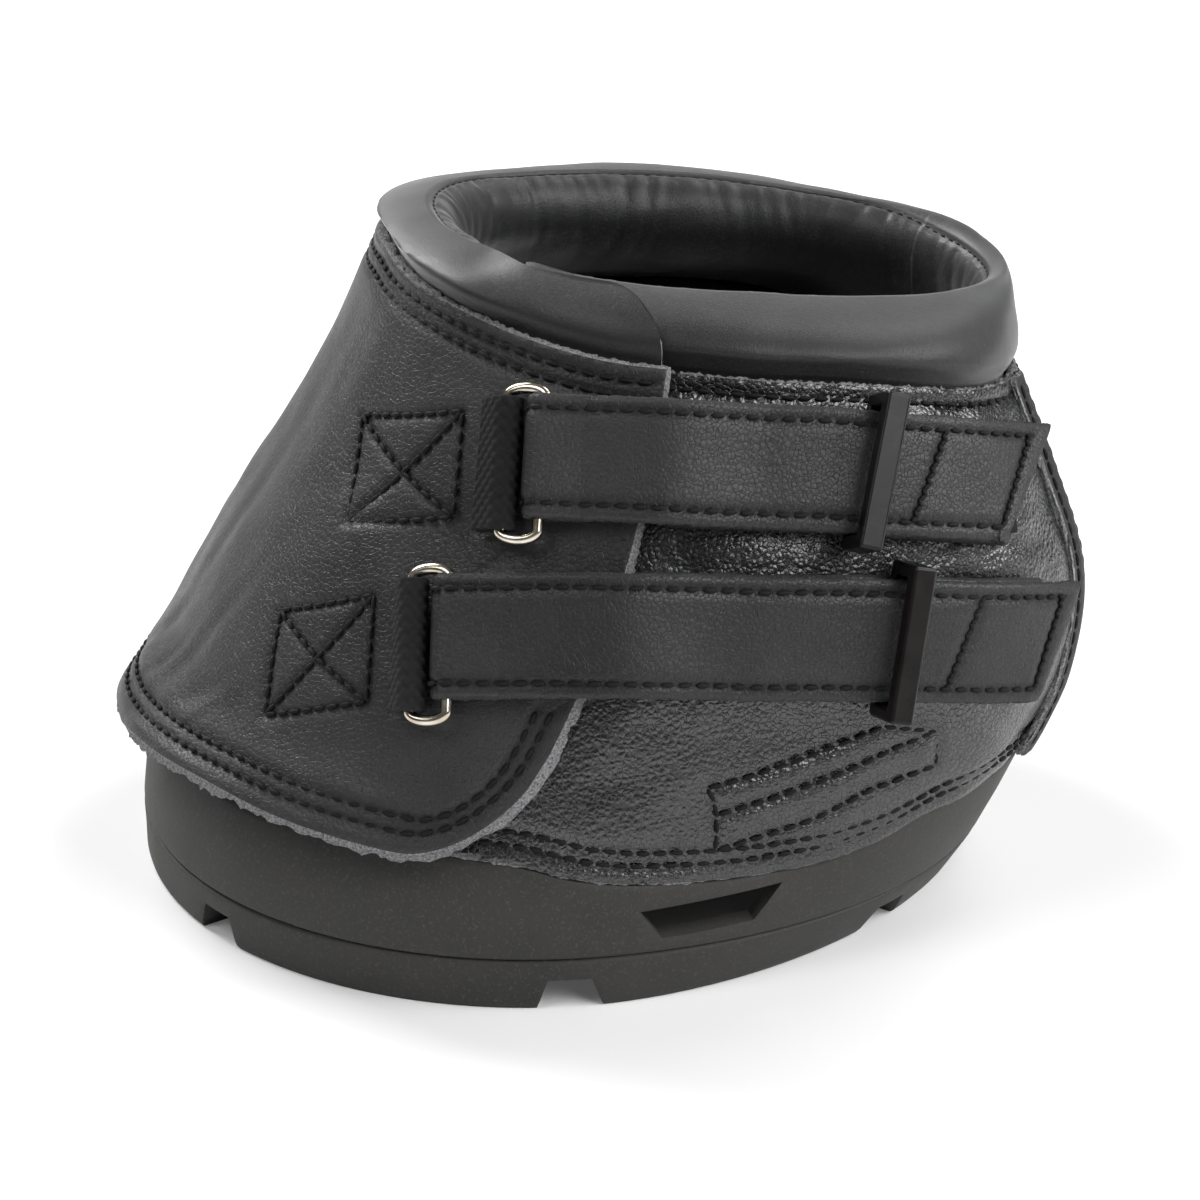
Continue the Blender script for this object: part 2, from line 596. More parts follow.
def evenColumns(parts, off=0.0, z=0.06):
    # angles spaced by real length: (from, to, step in metres) for each part
    columns = []
    for start, end, step in parts:
        dense = np.linspace(start, end, 400)
        points = onUpper(dense, z, off)
        length = runLength(points)
        count = max(2, int(round(length[-1] / step)))
        angles = np.interp(np.linspace(0, length[-1], count + 1), length, dense)
        columns.append(angles if not columns else angles[1:])
    return np.concatenate(columns)


def upperGrid(columns, count, bottom, top, offset):
    level = np.linspace(0, 1, count)
    low, high = bottom(columns), top(columns)
    heights = low[:, None] + level[None, :] * (high - low)[:, None]
    turns = np.repeat(columns[:, None], count, axis=1)
    return turns, heights, onUpper(turns, heights, offset(turns, heights))


# the leather that wraps from the far rear seam over the toe to the flap's free end

def insetLine(start, end, edge, inset, count=40):
    turns = np.linspace(start, end, count)
    return [(t, float(edge(t)) * 1000 + inset) for t in turns]


wrap = {
    "step": 0.00085, "farStep": 0.0017, "rows": 96, "skive": 0.0013,
    "hemInset": (3.1, 5.5), "collarInset": (-2.4, -4.9), "pitch": 0.0034, "boxPitch": 0.0029,
    "slitDepth": 0.0011, "slitWidth": 0.7,
    "boxes": (((16.5, 90.3), (38, 96.8), (43, 80.5), (25, 74.3)),
              ((21.5, 57.7), (36.5, 65.8), (43.5, 50), (29, 42.5))),
    "slits": (((43.0, 99.2), (48.5, 79.0)), ((41.2, 69.5), (48.3, 49.2))),
    "folds": [((-6, 40), (-2, 75), 3.0, 0.5), ((4, 33), (12, 62), 2.4, 0.45),
              ((-12, 33), (0, 52), 2.2, 0.5), ((10, 34), (22, 48), 1.8, 0.30),
              ((-2, 30), (3, 44), 1.4, 0.35), ((16, 31), (20, 40), 1.3, 0.25),
              ((50, 72), (60, 84), 2.0, 0.35), ((47, 46), (60, 42), 2.2, 0.30),
              ((30, 104), (44, 100), 2.0, 0.25), ((-40, 60), (-25, 90), 5.0, 0.5),
              ((-60, 50), (-40, 70), 5.0, 0.5), ((-90, 40), (-70, 75), 6.0, 0.6),
              ((-130, 60), (-110, 72), 5.0, 0.6), ((-120, 84), (-95, 90), 4.0, 0.5)],
}


def flapFree(inset):
    # a line parallel to the free end and round the corner, up to the lower strap
    corner = boot["flapEdge"] - boot["cornerTurn"]
    low = float(boot["height"] * follow(boot["flapHem"], corner)) * 1000 + inset
    reach = boot["cornerTurn"] - inset / boot["cornerPerDegree"]
    rise = boot["cornerHeight"] * 1000 - inset
    turns = [math.radians(90 * k / 8) for k in range(9)]
    return [(corner + reach * math.sin(turn), low + rise * (1 - math.cos(turn))) for turn in turns]


def makeWrapRows():
    rows = {"flap": [], "blended": []}
    corner = boot["flapEdge"] - boot["cornerTurn"]
    for inset in wrap["hemInset"]:
        line = insetLine(-boot["rearSeam"] + 4, boot["hinge"], quarterHem, inset - 1.2, 60)
        line += insetLine(boot["hinge"] + 2, corner - 1, flapHem, inset, 60)
        line += flapFree(inset)
        top = line[-1]
        line += [(top[0] + 0.1, top[1] + 3), (top[0] + 0.2, top[1] + 6.5)]
        rows["blended"].append(rowOnUpper(line, wrapOffset, wrap["pitch"], 900))
    for inset in wrap["collarInset"]:
        line = insetLine(-boot["rearSeam"] + 4, boot["flapEdge"] - 1.6, topEdge, inset, 120)
        rows["blended"].append(rowOnUpper(line, wrapOffset, wrap["pitch"], 700))
    for box in wrap["boxes"]:
        for one, two in list(zip(box, box[1:] + box[:1])) + [(box[0], box[2]), (box[1], box[3])]:
            rows["flap"].append(rowOnUpper([one, two], wrapOffset, wrap["boxPitch"], 40))
    return rows


wrapRows = makeWrapRows()
hingeJoint = [j for j in frame["joints"] if j["name"] == "flap_open"][0]
hingePlace = np.array(hingeJoint["pos_m"])
hingeRun = unit(onUpper(boot["hinge"] + 2, 0.07) - onUpper(boot["hinge"] - 2, 0.07))


def bendOver(item):
    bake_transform(item)


def settle(item, blended):
    if blended:
        bendOver(item)
    else:
        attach(item, "boot")


def makeWrap():
    columns = evenColumns([(-boot["rearSeam"] + 0.2, -70, wrap["farStep"]), (-70, -30, wrap["step"] * 1.5),
                           (-30, boot["flapEdge"], wrap["step"])], boot["standoff"])
    turns, heights, grid = upperGrid(columns, wrap["rows"], wrapHem, topEdge, wrapOffset)
    push = foldField(turns, heights, wrap["folds"])
    push += ripple(grid, 0.035, 3) * 0.00030 + ripple(grid, 0.012, 4) * 0.00010
    for start, end in wrap["slits"]:
        t, x, y, dx, dy = besideLine(turns, heights, start, end)
        away = (x * dy - y * dx) / math.hypot(dx, dy)
        push -= wrap["slitDepth"] * np.exp(-(away / wrap["slitWidth"]) ** 2) * (t > 0) * (t < 1)
    item = leatherSheet("wrapLeather", grid, boot["leather"],
                        hide("flapLeather", "suedeEdge", "suedeBack", "pebbledLeather"),
                        wrapRows["flap"] + wrapRows["blended"], push, seed=11, skive=wrap["skive"])
    # the far quarter has the pebbled hide, the flap the smoother one
    centres = np.zeros(len(item.data.polygons) * 3)
    item.data.polygons.foreach_get("center", centres)
    kinds = np.zeros(len(item.data.polygons), np.int32)
    item.data.polygons.foreach_get("material_index", kinds)
    centres = centres.reshape(-1, 3)
    back = (centres - hingePlace) @ hingeRun < -0.03
    kinds[back & (kinds == 0)] = 3
    item.data.polygons.foreach_set("material_index", kinds)
    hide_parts("front_flap", "far_quarter")
    bendOver(item)
    bendOver(sewRows("wrapStitches", wrapRows["blended"]))
    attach(sewRows("flapBoxStitches", wrapRows["flap"], seed=9), "flap")


makeWrap()
print("flap leather made")


# near quarter and heel, both pebbled

quarter = {
    "step": 0.00085, "rows": 96, "hemInset": (3.0, 5.2), "topInset": (-2.4,),
    "patch": [[(90.5, 39.0), (95, 41.6), (99.5, 44.0), (105.5, 46.5)],
              [(92.3, 34.0), (101.5, 38.5), (108.5, 42.0), (114, 43.8)],
              [(94.5, 27.5), (103, 30.8), (108.5, 34.8), (117.5, 36.8)],
              [(90.5, 39.0), (94.5, 27.5)], [(105.5, 46.5), (114, 43.8), (117.5, 36.8)]],
    "folds": [((60, 84), (80, 76), 2.6, 0.9), ((72, 90), (96, 80), 3.0, 0.5),
              ((100, 78), (125, 92), 2.6, 0.7), ((108, 74), (132, 82), 2.0, 0.6),
              ((112, 70), (128, 66), 1.6, 0.5), ((80, 50), (110, 44), 3.5, 0.4),
              ((100, 96), (120, 90), 2.0, 0.6), ((120, 76), (140, 70), 2.4, 0.6),
              ((76, 104), (100, 96), 2.0, 0.5), ((70, 32), (84, 44), 4.0, 0.5),
              ((125, 60), (145, 50), 4.0, 0.5), ((118, 50), (132, 40), 2.5, 0.5)],
}


def flat(value):
    return lambda turn, z: value + 0 * turn


def makeQuarter():
    rows = [rowOnUpper(insetLine(boot["nearFront"] + 2, boot["rearSeam"] - 4, quarterHem, inset, 80),
                       flat(0), 0.0030, 500) for inset in quarter["hemInset"]]
    rows += [rowOnUpper(insetLine(boot["flapEdge"] - 4, boot["rearSeam"] - 4, topEdge, inset, 60),
                        flat(0), 0.0030, 400) for inset in quarter["topInset"]]
    rows += [rowOnUpper(line, flat(0), 0.0031, 120) for line in quarter["patch"]]
    columns = evenColumns([(boot["nearFront"], 66, 0.0022), (66, boot["rearSeam"] - 0.2, quarter["step"])])
    turns, heights, grid = upperGrid(columns, quarter["rows"], quarterHem, topEdge, flat(0))
    push = foldField(turns, heights, quarter["folds"]) * ease((turns - 72) / 8)
    push += (ripple(grid, 0.030, 13) * 0.00050 + ripple(grid, 0.010, 14) * 0.00014) * ease((turns - 70) / 8)
    item = leatherSheet("nearQuarterLeather", grid, boot["leather"],
                        hide("pebbledLeather", "suedeEdge", "suedeBack"), rows, push, seed=12)
    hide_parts("near_quarter")
    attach(item, "boot")
    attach(sewRows("nearQuarterStitches", rows, seed=8), "boot")


def makeHeel():
    start, end = boot["rearSeam"] + 0.2, 360 - boot["rearSeam"] - 0.2
    rows = [rowOnUpper(insetLine(start + 3.5, end - 3.5, quarterHem, inset, 50), flat(0), 0.0030, 300)
            for inset in quarter["hemInset"]]
    rows += [rowOnUpper(insetLine(start + 3.5, end - 3.5, topEdge, inset, 50), flat(0), 0.0030, 300)
             for inset in quarter["topInset"]]
    columns = evenColumns([(start, end, 0.0013)])
    _, _, grid = upperGrid(columns, 70, quarterHem, topEdge, flat(0))
    push = ripple(grid, 0.028, 23) * 0.00040 + ripple(grid, 0.010, 24) * 0.00012
    item = leatherSheet("heelLeather", grid, boot["leather"],
                        hide("pebbledLeather", "suedeEdge", "suedeBack"), rows, push, seed=13)
    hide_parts("heel_panel")
    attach(item, "boot")
    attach(sewRows("heelStitches", rows, seed=18), "boot")


tapes = {"turn": 7.0, "thick": 0.0014, "rows": 60}


def makeSeamTapes():
    for name, node, middle in (("nearSeamTape", "near_seam_tape", boot["rearSeam"]),
                               ("farSeamTape", "far_seam_tape", -boot["rearSeam"])):
        columns = np.linspace(middle - tapes["turn"] / 2, middle + tapes["turn"] / 2, 13)
        off = tapes["thick"] + boot["gap"]
        turns, _, grid = upperGrid(columns, tapes["rows"], quarterHem, topEdge, flat(off))
        across = (turns - middle) / (tapes["turn"] / 2)
        push = -0.0007 * np.abs(across) ** 4 + 0.00025 * np.exp(-(across / 0.25) ** 2)
        push += ripple(grid, 0.012, 31) * 0.00012
        rows = []
        for side in (-0.55, 0.55):
            turn = middle + side * tapes["turn"] / 2
            low, high = float(quarterHem(turn)) * 1000 + 1.5, float(topEdge(turn)) * 1000 - 1.5
            line = [(turn, low), (turn, (low + high) / 2), (turn, high)]
            rows.append(rowOnUpper(line, flat(off), 0.0030, 80))
        item = leatherSheet(name, grid, tapes["thick"], hide("strapLeather", "suedeEdge", "suedeBack"),
                            rows, push, seed=15)
        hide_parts(node)
        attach(item, "boot")
        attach(sewRows(name + "Stitches", rows, sink=0.00050, seed=19), "boot")


makeQuarter()
makeHeel()
makeSeamTapes()
print("quarters and heel made")


# lining and the stiff bands behind the low stitch rows

liningShape = {"thick": 0.0020, "clear": 0.048, "blend": 0.018, "rand": 0.0017, "tuck": 0.013,
               "bandLow": 0.0349, "bandHigh": 0.0469}


def liningOffset(turn, z):
    turn = folded(turn)
    low = -boot["leather"] - liningShape["rand"] - 2 * boot["gap"]
    stand = np.where(turn < 0, wrapOffset(turn, 0.09 + 0 * z), 0.0)
    stand = np.where((turn > boot["hinge"]) & (turn < boot["nearFront"]), boot["standoff"], stand)
    high = stand - boot["leather"] - boot["gap"]
    raised = low + (high - low) * ease((z - liningShape["clear"]) / liningShape["blend"])
    return np.where((turn > boot["hinge"]) & (turn < boot["nearFront"]), high, raised)


def liningSheet(name, columns, bottom, top, thickness, nodes, blended):
    _, _, grid = upperGrid(columns, 40, bottom, top, liningOffset)
    push = ripple(grid, 0.03, 41) * 0.00025
    item = leatherSheet(name, grid, thickness, [looks["lining"]] * 3, (), push, fray=0.00003)
    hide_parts(*nodes)
    settle(item, blended)


def makeLinings():
    seam = boot["rearSeam"]
    hinge = boot["hinge"]

    def wrapBottom(turn):
        flapLow = boot["height"] * follow(boot["flapHem"], turn) + 2 * boot["leather"]
        rearLow = quarterHem(turn) + boot["gap"]
        return np.where(turn < hinge, rearLow,
                        rearLow + (flapLow - quarterHem(turn)) * ease((turn - hinge) / 6))

    def wrapTop(turn):
        return topEdge(turn) - liningShape["tuck"] - 4 * boot["gap"]

    columns = evenColumns([(-seam, boot["nearFront"] - 2, 0.0024)])
    liningSheet("wrapLining", columns, wrapBottom, wrapTop, liningShape["thick"],
                ["flap_lining", "upper_lining"], True)
    columns = evenColumns([(boot["nearFront"], 360 - seam, 0.0024)])
    liningSheet("rearLining", columns, lambda t: quarterHem(t) + boot["gap"], wrapTop, liningShape["thick"],
                ["upper_lining"], False)
    for name, node, start, end in (("nearBand", "near_stiffener", 90, 148),
                                   ("farBand", "far_stiffener", -148, -90)):
        columns = evenColumns([(start, end, 0.004)])
        _, _, grid = upperGrid(columns, 8, lambda t: liningShape["bandLow"] + 0 * t,
                               lambda t: liningShape["bandHigh"] + 0 * t,
                               flat(-boot["leather"] - boot["gap"]))
        item = leatherSheet(name, grid, liningShape["rand"], [looks["lining"]] * 3, (), None, fray=0.00003)
        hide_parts(node)
        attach(item, "boot")


makeLinings()
print("linings made")


# padded collar

collar = {
    "halfLength": 0.0532, "halfWidth": 0.0396, "middle": 0.0268, "high": 0.116375, "slope": -0.125,
    "round": 2.25,
    "bulge": 0.0016, "rim": 0.0062, "rimDepth": 0.0085, "band": 0.0026, "bandTurn": 30.0, "blendTurn": 14.0,
    "corner": 0.42, "bandReach": 0.80, "lean": 0.35, "tuck": 0.013, "section": 48,
    "end": 69.0, "cornerTurn": 9.0, "crowd": 1.6, "seamIn": 0.0003, "seamInHeel": 0.0034, "seam": 0.00055,
    "pleat": 0.0011, "pleatPitch": 0.0034, "pleatReach": 0.0085, "pleatWide": 0.0010, "pleatRise": 0.0012,
    "endFade": 0.006,
}


def crest(turn):
    c, s = math.cos(math.radians(turn)), math.sin(math.radians(turn))
    power = 2 / collar["round"]
    run = -collar["halfLength"] * math.copysign(abs(c) ** power, c)
    return np.array([collar["halfWidth"] * math.copysign(abs(s) ** power, s), collar["middle"] + run,
                     collar["high"] + collar["slope"] * run])


def crestInward(turn):
    along = crest(turn + 1) - crest(turn - 1)
    return unit(np.array([-along[1], along[0], 0.0]))


def smoothLine(points, count, reach=1.0, crowd=1.0):
    # crowd above 1 sets more points near the far end
    points = np.array(points)
    for _ in range(2):
        cut = np.empty((2 * len(points) - 2, 3))
        cut[0::2] = points[:-1] * 0.75 + points[1:] * 0.25
        cut[1::2] = points[:-1] * 0.25 + points[1:] * 0.75
        points = np.concatenate([points[:1], cut, points[-1:]])
    length = runLength(points)
    return readLine(reach * (1 - (1 - np.linspace(0, 1, count)) ** crowd) * length[-1], length, points)


def collarSection(turn, stands, footShift, crestLift, padding, reach):
    edge = float(topEdge(turn))
    inner = stands - boot["leather"] - boot["gap"]
    gap, tuck = boot["gap"], collar["tuck"]
    top = crest(turn)
    foot = onUpper(turn, edge + collar["bulge"] * 2, stands + collar["bulge"] + footShift)
    flatWay = top - foot
    flatWay[2] = 0
    span = np.linalg.norm(flatWay)
    inward = flatWay / span
    up = np.array([0.0, 0.0, 1.0])
    rise = top[2] - foot[2] + crestLift
    low = onUpper(turn, edge - tuck, inner)
    outer = [low, onUpper(turn, edge - tuck / 2, inner), onUpper(turn, edge + 2 * gap, inner),
             onUpper(turn, edge + 3 * gap, stands - boot["leather"] / 2 + footShift / 2), foot]
    lean = collar["lean"] * max(0.0, math.cos(math.radians(turn)))
    for k in range(1, 13):
        t = math.radians(7.5 * k)
        over = (1 - lean) * (1 - math.cos(t)) + lean * k / 12
        climb = (1 - lean) * math.sin(t) + lean * k / 12
        outer.append(foot + inward * span * over + up * rise * climb)
    outer = smoothLine(outer, collar["section"], reach)
    hidden = unit(np.cross(onUpper(turn + 1, edge) - onUpper(turn - 1, edge), np.gradient(outer, axis=0)))
    even = np.linspace(0, 1, len(outer))
    spots = 1 - (1 - even) ** collar["crowd"]
    thin = readLine(spots, even, outer - hidden * collar["band"])
    top = top + up * crestLift
    inward = crestInward(turn)
    rim = top + inward * collar["rim"] - up * collar["rimDepth"]
    bottom = low - hidden[0] * collar["band"]
    full = [bottom]
    for k in range(1, 9):
        t = k / 9
        full.append((1 - t) ** 2 * bottom + 2 * t * (1 - t) * (rim - up * collar["rimDepth"]) + t * t * rim)
    for k in range(0, 12):
        t = math.radians(7.5 * k)
        full.append(top + inward * collar["rim"] * math.cos(t) - up * collar["rimDepth"] * (1 - math.sin(t)))
    back = padding * smoothLine(full, collar["section"], crowd=collar["crowd"]) + (1 - padding) * thin
    return outer, back


def flapCollarSection(turn):
    end, band, bend = collar["end"], collar["bandTurn"], collar["cornerTurn"]
    over = float(ease((turn - band) / collar["blendTurn"]))
    padding = 1 - float(ease((turn - band + 12) / (collar["blendTurn"] + 12)))
    corner = min(1.0, max(0.0, (turn - end + bend) / bend))
    reach = 1 - (1 - collar["bandReach"]) * over - collar["corner"] * (1 - math.sqrt(max(0.0, 1 - corner**2)))
    shift = -over * (boot["standoff"] - collar["band"] - 2 * boot["gap"])
    return collarSection(turn, float(wrapOffset(min(turn, 0.0), 0.1)), shift,
                         over * (collar["band"] + 2 * boot["gap"]), padding, reach)


def rearCollarSection(turn):
    start = collar["bandTurn"] + collar["blendTurn"] - 3
    around = turn if turn <= 180 else turn - 360
    over = float(ease((turn - collar["bandTurn"]) / collar["blendTurn"]))
    grow = float(ease((turn - start + 0.5) / 16))
    sink = (collar["band"] + boot["gap"]) * (1 - over)
    return collarSection(around, 0.0, -sink, -sink, grow, 1.0)


def collarPiece(name, turns, section, nodes, blended, seed):
    sections = [section(float(t)) for t in turns]
    outer = np.array([s[0] for s in sections])
    back = np.array([s[1] for s in sections])
    loops = np.concatenate([outer, back[:, ::-1]], axis=1)
    m, n = loops.shape[:2]
    across = np.roll(loops, -1, 1) - np.roll(loops, 1, 1)
    normals = unit(np.cross(np.gradient(loops, axis=0), across))
    # pleats hang from the inner seam, and soft creases lie over the roll
    middle = crestLength(turns)
    rng = np.random.default_rng(seed)
    count = int(middle[-1] / collar["pleatPitch"]) + 3
    centres = (np.arange(count) + rng.uniform(-0.35, 0.35, count)) * collar["pleatPitch"]
    half = collar["section"]
    depth = np.full((m, n), -1.0)
    depth[:, half:] = np.concatenate([np.zeros((m, 1)), np.cumsum(np.linalg.norm(
        np.diff(loops[:, half:], axis=1), axis=2), axis=1)], axis=1)
    around = np.radians(np.asarray(turns, float))
    heelward = ease((0.25 - np.cos(around)) / 1.1) * ease((0.9 - np.abs(np.sin(around))) / 0.6)
    seamIn = collar["seamIn"] + (collar["seamInHeel"] - collar["seamIn"]) * heelward
    past = depth - seamIn[:, None]
    valley = np.zeros((m, n))
    for c, p, lean, long in zip(centres, rng.uniform(0.25, 1.0, count), rng.uniform(-0.3, 0.3, count),
                                rng.uniform(0.5, 1.3, count)):
        line = middle[:, None] - c - lean * past
        fade = np.exp(-np.maximum(past, 0) / (collar["pleatReach"] * long)) * ease(past / collar["pleatRise"])
        valley = np.maximum(valley, p * fade * np.exp(-np.abs(line) / collar["pleatWide"]))
    ends = np.minimum(middle, middle[-1] - middle) / collar["endFade"]
    push = -collar["pleat"] * valley * ease(ends)[:, None]
    seam = np.where(depth >= 0, np.exp(-(past / collar["seam"]) ** 2), 0)
    push -= collar["seam"] * seam
    squashed = loops * (1, 1, 2.6)
    push += ripple(squashed, 0.045, 51) * 0.00040 + ripple(squashed, 0.014, 52) * 0.00008
    thinness = np.linalg.norm(outer[:, half // 2] - back[:, half // 2], axis=1)
    thick = ease((thinness - 0.003) / 0.004)
    moved = loops + normals * (push * (0.25 + 0.75 * thick[:, None]))[..., None]
    points = moved.reshape(-1, 3)
    faces, kinds = [], []
    for i in range(m - 1):
        for j in range(n):
            k = (j + 1) % n
            faces.append((i * n + j, (i + 1) * n + j, (i + 1) * n + k, i * n + k))
            kinds.append(1 if thick[i] < 0.5 and half - 2 < j < half else 0)
    for i, flip in ((0, False), (m - 1, True)):
        for j in range(half - 1):
            face = (i * n + j, i * n + j + 1, i * n + n - 2 - j, i * n + n - 1 - j)
            faces.append(face[::-1] if flip else face)
            kinds.append(1)
    item = meshObject(name, points, faces, [looks["collarLeather"], looks["suedeEdge"]], kinds, 60,
                      {"nearRow": (seam * 0.8).reshape(-1)})
    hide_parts(*nodes)
    settle(item, blended)
    # the row of stitches in the inner seam
    keep = thick > 0.6

    def atSeam(values):
        return np.array([[np.interp(seamIn[i], depth[i, half:], values[i, half:, k]) for k in range(3)]
                         for i in range(m) if keep[i]])

    row = rowAlong(atSeam(moved), atSeam(normals), 0.0024)
    settle(sewRows(name + "Stitches", [row], sink=0.00005, length=0.0017, width=0.0005, height=0.0005,
                   seed=seed), blended)


def crestLength(turns):
    return runLength(np.array([crest(float(folded(t))) for t in turns]))


def spreadTurns(start, end, step, extra=()):
    dense = np.linspace(start, end, 800)
    length = crestLength(dense)
    turns = np.interp(np.linspace(0, length[-1], int(length[-1] / step)), length, dense)
    return np.unique(np.concatenate([turns, extra]))


flapTurns = spreadTurns(-boot["rearSeam"], collar["end"], 0.0009,
                        collar["end"] - collar["cornerTurn"] * (1 - np.sin(np.linspace(0, math.pi / 2, 18))))
collarPiece("flapCollar", flapTurns, flapCollarSection, ["flap_collar", "rear_collar"], True, 51)
rearTurns = spreadTurns(collar["bandTurn"] + collar["blendTurn"] - 3, 360 - boot["rearSeam"], 0.0009)
collarPiece("rearCollar", rearTurns, rearCollarSection, ["rear_collar"], False, 52)
print("collar made")


# straps

strap = {"width": 0.0208, "thick": 0.0018, "lift": 0.0029, "wire": 0.0020, "bars": 0.0070, "webbing": 0.0012,
         "leanReach": 0.012, "foldLength": 0.018, "rowEnd": 0.0025, "bandEnd": 0.0036, "zigzag": 0.00042,
         "ringRoom": 0.00125, "ringEnd": 0.0015, "ringDrop": 0.0012, "webbingRoom": 0.0009, "tape": 0.0010,
         "baseFront": 72.5, "returnEnd": 69.3, "rowInset": 0.0022}
straps = {
    "upper": {"ring": 52.4, "slit": 45.3, "tail": 129.0, "keeper": 99.4, "patch": 108.6, "lean": 0.78,
              "patchLean": 0.42, "keeperLean": 8.6,
              "line": ((40, 0.713), (53, 0.733), (64.5, 0.743), (77.5, 0.743), (90, 0.735), (100, 0.719),
                       (111, 0.700), (127, 0.666), (140, 0.633))},
    "lower": {"ring": 49.4, "slit": 44.3, "tail": 131.0, "keeper": 103.0, "patch": 112.3, "lean": 0.46,
              "patchLean": 0.34, "keeperLean": 4.5,
              "line": ((36, 0.459), (49, 0.494), (58, 0.513), (70, 0.527), (82, 0.528), (92, 0.518),
                       (104.5, 0.500), (119, 0.472), (133, 0.442), (145, 0.412))},
}


def strapAt(one, turn, off):
    turn = np.asarray(turn, float)

    def at(angle):
        return onUpper(angle, boot["height"] * follow(one["line"], angle), off)

    out = upperNormal(turn, boot["height"] * follow(one["line"], turn))
    run = unit(at(turn + 0.25) - at(turn - 0.25))
    out = unit(out - run * np.sum(out * run, axis=-1, keepdims=True))
    return at(turn), run, out, np.cross(out, run)


def ringFrame(one):
    return strapAt(one, one["ring"], boot["standoff"] + 2 * boot["gap"] + strap["thick"] + strap["wire"] / 2)


def strapTop(turn):
    over = boot["standoff"] + 2 * boot["gap"] + 2 * strap["thick"]
    on = boot["gap"] + 2 * strap["thick"] + strap["lift"]
    return over + (on - over) * ease((turn - boot["flapEdge"] - 1) / 16)


def evenLine(points, ways, step):
    length = runLength(points)
    wanted = np.linspace(0, length[-1], int(length[-1] / step))
    return readLine(wanted, length, points), unit(readLine(wanted, length, ways)), wanted


def bandGrid(points, across, width, count):
    level = np.linspace(-0.5, 0.5, count) * width
    return points[:, None] + across[:, None] * level[None, :, None]


def strapPath(one):
    point, run, out, across = ringFrame(one)
    bar = point + run * strap["bars"] / 2
    radius = strap["wire"] / 2 + boot["gap"] + strap["thick"]
    start = one["ring"] + 9
    points, ways = [], []
    for a in np.linspace(strap["returnEnd"], start - 1, 8):
        p, _, _, s = strapAt(one, a, boot["standoff"] + boot["gap"])
        points.append(p)
        ways.append(s)
    for k in range(17):
        turn = math.radians(-90 - 180 * k / 16)
        points.append(bar + run * math.cos(turn) * radius + out * math.sin(turn) * radius)
        ways.append(across)
    for a in np.linspace(start, one["tail"], 90):
        p, _, _, s = strapAt(one, a, float(strapTop(a)))
        points.append(p)
        ways.append(s)
    return np.array(points), np.array(ways)


def sampleGrid(grid, i, j):
    i0 = np.clip(np.floor(i).astype(int), 0, grid.shape[0] - 2)
    j0 = np.clip(np.floor(j).astype(int), 0, grid.shape[1] - 2)
    fi, fj = (i - i0)[:, None], (j - j0)[:, None]
    return ((grid[i0, j0] * (1 - fi) + grid[i0 + 1, j0] * fi) * (1 - fj)
            + (grid[i0, j0 + 1] * (1 - fi) + grid[i0 + 1, j0 + 1] * fi) * fj)


def zigzagRow(grid, i, j0, j1, wide, count=17):
    # a band of slanted stitches that runs to and fro across the strap
    t = np.linspace(0, 1, count + 1)
    j = j0 + (j1 - j0) * t
    i = i[0] + (i[1] - i[0]) * t
    i = i + wide * np.where(np.arange(count + 1) % 2, 1, -1)
    normals = gridNormals(grid)
    points = sampleGrid(grid, i, j)
    places = (points[1:] + points[:-1]) / 2
    fine = np.linspace(0, count, 220)
    corners = np.arange(count + 1)
    dense = sampleGrid(grid, np.interp(fine, corners, i), np.interp(fine, corners, j))
    return {"points": dense, "places": places, "run": unit(points[1:] - points[:-1]),
            "out": unit(sampleGrid(normals, (i[1:] + i[:-1]) / 2, (j[1:] + j[:-1]) / 2))}


def makeStrap(side, one):
    points, ways = strapPath(one)
    points, ways, length = evenLine(points, ways, 0.0007)
    count = 34
    grid = bandGrid(points, ways, strap["width"], count)
    tail = unit(points[-1] - points[-2])
    near = ease((length - length[-1] + strap["leanReach"]) / strap["leanReach"])
    level = np.linspace(-1, 1, count)
    grid = grid + tail * (near[:, None] * level[None, :] * one["lean"] * strap["width"] / 2)[..., None]
    inset = strap["rowInset"] / strap["width"] * (count - 1)
    last = len(grid) - 1
    foldEnd = int(np.argmin(np.abs(length - strap["foldLength"])))
    step = length[1]
    normals = gridNormals(grid)
    rows = []
    for j in (inset, count - 1 - inset):
        i = np.linspace(foldEnd, last - strap["rowEnd"] / step, 300)
        rows.append(rowAlong(sampleGrid(grid, i, i * 0 + j), sampleGrid(normals, i, i * 0 + j), 0.0032))
    bands = []
    patch = strapAt(one, one["patch"], float(strapTop(one["patch"])))[0]
    patchAt = int(np.argmin(np.linalg.norm(grid[:, count // 2] - patch, axis=1)))
    for place, tilt in ((last - strap["bandEnd"] / step, 0.0), (patchAt, one["patchLean"])):
        swing = tilt * (strap["width"] / 2 - strap["rowInset"]) / step
        bands.append(zigzagRow(grid, (place - swing, place + swing), inset, count - 1 - inset,
                               strap["zigzag"] / step))
    edge = np.abs(level)[None, :] ** 10 * 0.0005
    push = -edge * np.ones((len(grid), 1))
    push = push + ripple(grid, 0.018, 61) * 0.00014 + ripple(grid, 0.045, 62) * 0.0002
    item = leatherSheet(side + "StrapLeather", grid, strap["thick"],
                        hide("strapLeather", "cutEdge", "suedeBack"), rows + bands, push,
                        groove=0.00045, seed=21, fray=0.00012)
    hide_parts(side + "_strap")
    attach(item, side + "_strap")
    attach(sewRows(side + "StrapStitches", rows, seed=22), side + "_strap")
    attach(sewRows(side + "StrapZigzag", bands, length=0.0017, width=0.00095, seed=24), side + "_strap")


